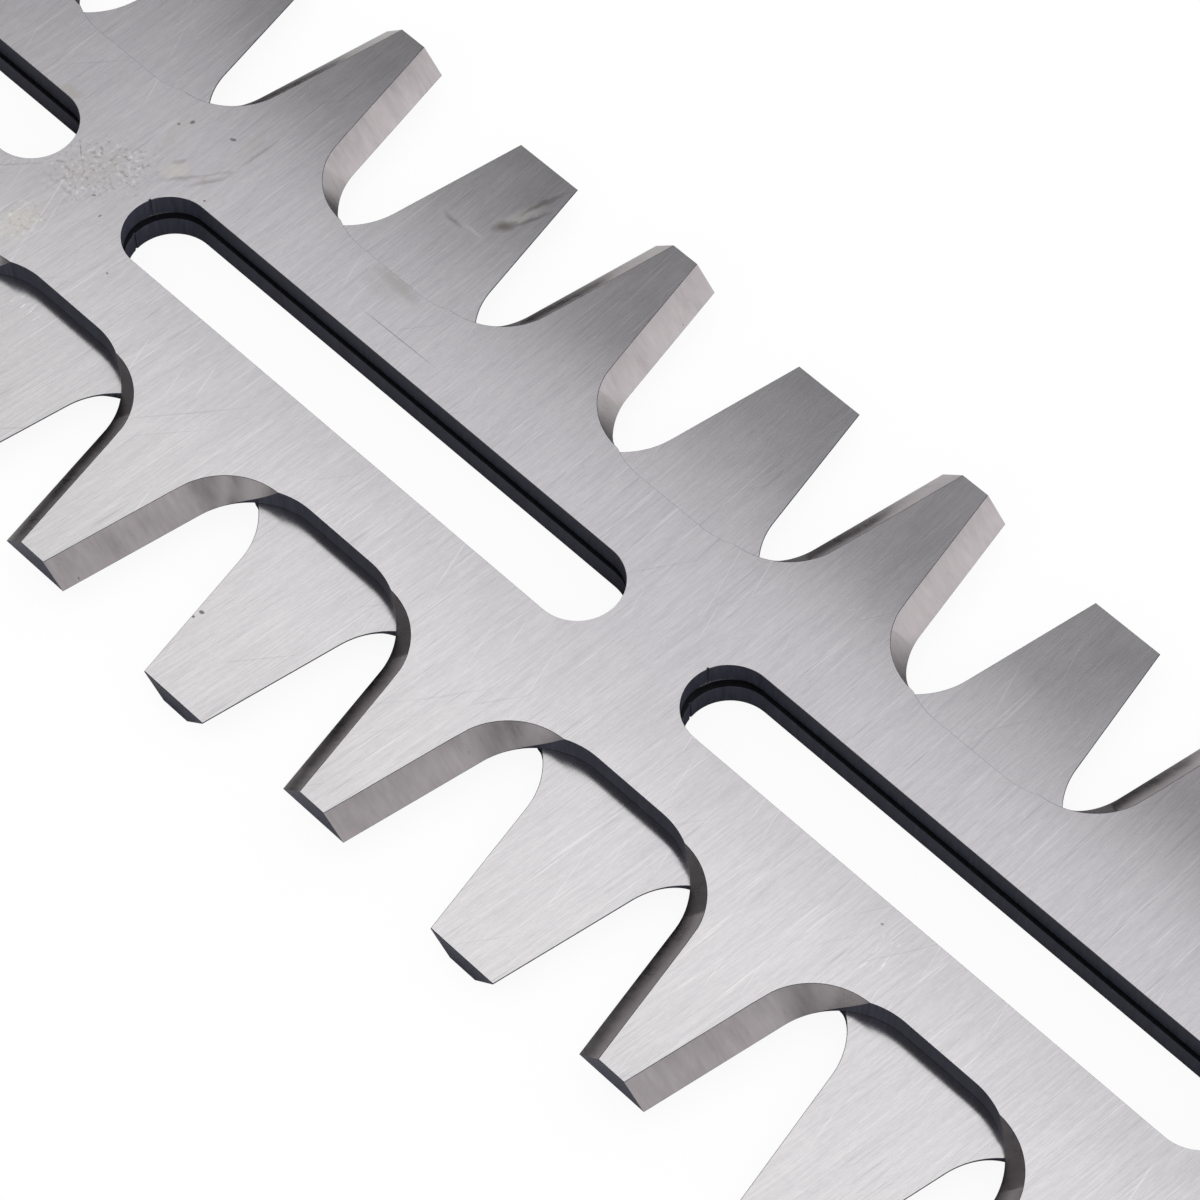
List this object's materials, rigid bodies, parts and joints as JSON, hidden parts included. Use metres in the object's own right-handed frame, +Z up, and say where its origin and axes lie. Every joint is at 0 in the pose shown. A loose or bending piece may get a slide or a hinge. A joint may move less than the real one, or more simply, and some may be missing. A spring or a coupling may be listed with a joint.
{
  "type": "hedge trimmer blade",
  "caption": "Pair of flat double-sided hedge trimmer blades lying face to face, with staggered bevelled teeth, long guide slots and a round drive eye at one end.",
  "frame": {"origin": "under the middle of the pair, on the plane it lies on", "axes": "+X along the blades from the drive eye to the free end, +Y across them, +Z up"},
  "size_m": [0.4846, 0.0604, 0.0044],
  "materials": {
    "ground_steel": "ground tool steel with fine grinding lines across the blade and darker ground bevels"
  },
  "bodies": {
    "lower": {"lower_blade": "ground_steel"},
    "upper": {"upper_blade": "ground_steel"}
  },
  "joints": [
    {"name": "blade_stroke", "type": "slide", "parent": "lower", "child": "upper", "axis": [1, 0, 0], "range_m": [-0.017, 0.017]}
  ]
}
